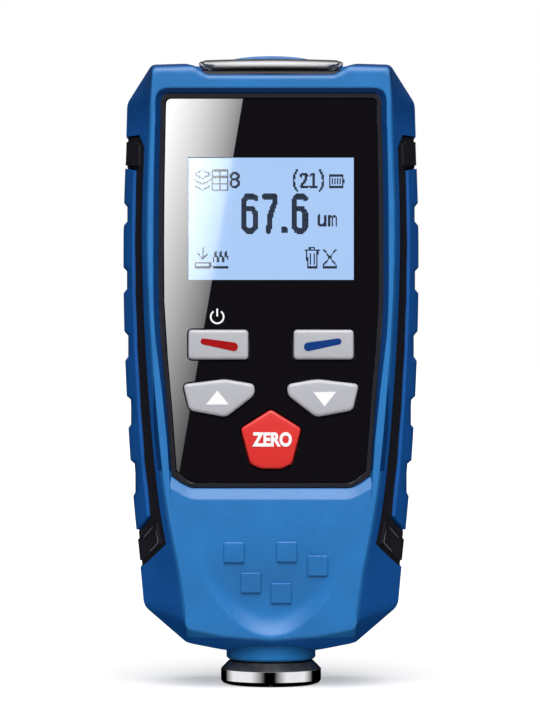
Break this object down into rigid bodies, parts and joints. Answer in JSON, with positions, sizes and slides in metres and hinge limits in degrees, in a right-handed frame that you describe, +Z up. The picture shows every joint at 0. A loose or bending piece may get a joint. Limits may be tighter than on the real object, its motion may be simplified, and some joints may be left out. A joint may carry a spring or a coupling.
{
  "type": "coating thickness gauge",
  "caption": "Hand-held coating thickness gauge in a skinned plastic housing, with a display, push keys, a battery door and a sprung probe in a turned metal foot that it stands on.",
  "frame": {"origin": "middle of the probe foot's face, on the probe axis and under the middle of the housing", "axes": "+Z up along the probe axis; the display faces -Y; +X is to the right of someone who reads it"},
  "size_m": [0.0534, 0.027, 0.1145],
  "materials": {
    "blue_skin": "fine moulded satin",
    "blue_collar": "satin",
    "dark_shell": "fine spark texture",
    "cap_plastic": "semi-gloss",
    "black_lens": "polished",
    "display": "backlit",
    "silver_key": "painted satin",
    "red_key": "satin",
    "silicone": "matt",
    "circuit_board": "solder mask",
    "black_component": "moulded",
    "chrome": "polished",
    "steel": "plain",
    "brass": "turned",
    "cell_sleeve": "printed sleeve"
  },
  "bodies": {
    "housing": {"front_overmold": "blue_skin", "rear_overmold": "blue_skin", "front_shell": "dark_shell", "rear_shell": "dark_shell", "top_cap": "cap_plastic", "lens_panel": "black_lens", "lcd_module": "display", "keypad_mat": "silicone", "main_board": "circuit_board", "controller_chip": "black_component", "signal_chip": "black_component", "power_coil": "black_component", "clock_crystal": "steel", "buzzer": "black_component", "battery_cell_left": "cell_sleeve", "battery_cell_right": "cell_sleeve", "battery_spring_left": "steel", "battery_spring_right": "steel", "contact_plate": "steel", "probe_collar": "blue_collar", "probe_foot": "chrome", "lock_nut": "brass", "probe_guide": "black_component", "probe_spring": "steel", "board_screw_1": "steel", "board_screw_2": "steel", "board_screw_3": "steel", "board_screw_4": "steel", "case_screw_1": "steel", "case_screw_2": "steel", "case_screw_3": "steel", "case_screw_4": "steel"},
    "power_button": {"key_power": "silver_key"},
    "select_button": {"key_select": "silver_key"},
    "up_button": {"key_up": "silver_key"},
    "down_button": {"key_down": "silver_key"},
    "zero_button": {"key_zero": "red_key"},
    "door": {"battery_door": "dark_shell"},
    "probe": {"probe_tip": "steel", "probe_coil": "brass"}
  },
  "joints": [
    {"name": "power_press", "type": "slide", "parent": "housing", "child": "power_button", "axis": [0, 1, 0], "range_m": [0, 0.0007], "stiffness_N_per_m": 1500},
    {"name": "select_press", "type": "slide", "parent": "housing", "child": "select_button", "axis": [0, 1, 0], "range_m": [0, 0.0007], "stiffness_N_per_m": 1500},
    {"name": "up_press", "type": "slide", "parent": "housing", "child": "up_button", "axis": [0, 1, 0], "range_m": [0, 0.0007], "stiffness_N_per_m": 1500},
    {"name": "down_press", "type": "slide", "parent": "housing", "child": "down_button", "axis": [0, 1, 0], "range_m": [0, 0.0007], "stiffness_N_per_m": 1500},
    {"name": "zero_press", "type": "slide", "parent": "housing", "child": "zero_button", "axis": [0, 1, 0], "range_m": [0, 0.0007], "stiffness_N_per_m": 1500},
    {"name": "door_hinge", "type": "hinge", "parent": "housing", "child": "door", "pos_m": [0, 0.0134, 0.0827], "axis": [1, 0, 0], "range_deg": [0, 90]},
    {"name": "probe_slide", "type": "slide", "parent": "housing", "child": "probe", "axis": [0, 0, 1], "range_m": [-0.0008, 0.0004], "stiffness_N_per_m": 375, "springref_m": -0.0008, "deforming": ["probe_spring"]}
  ]
}
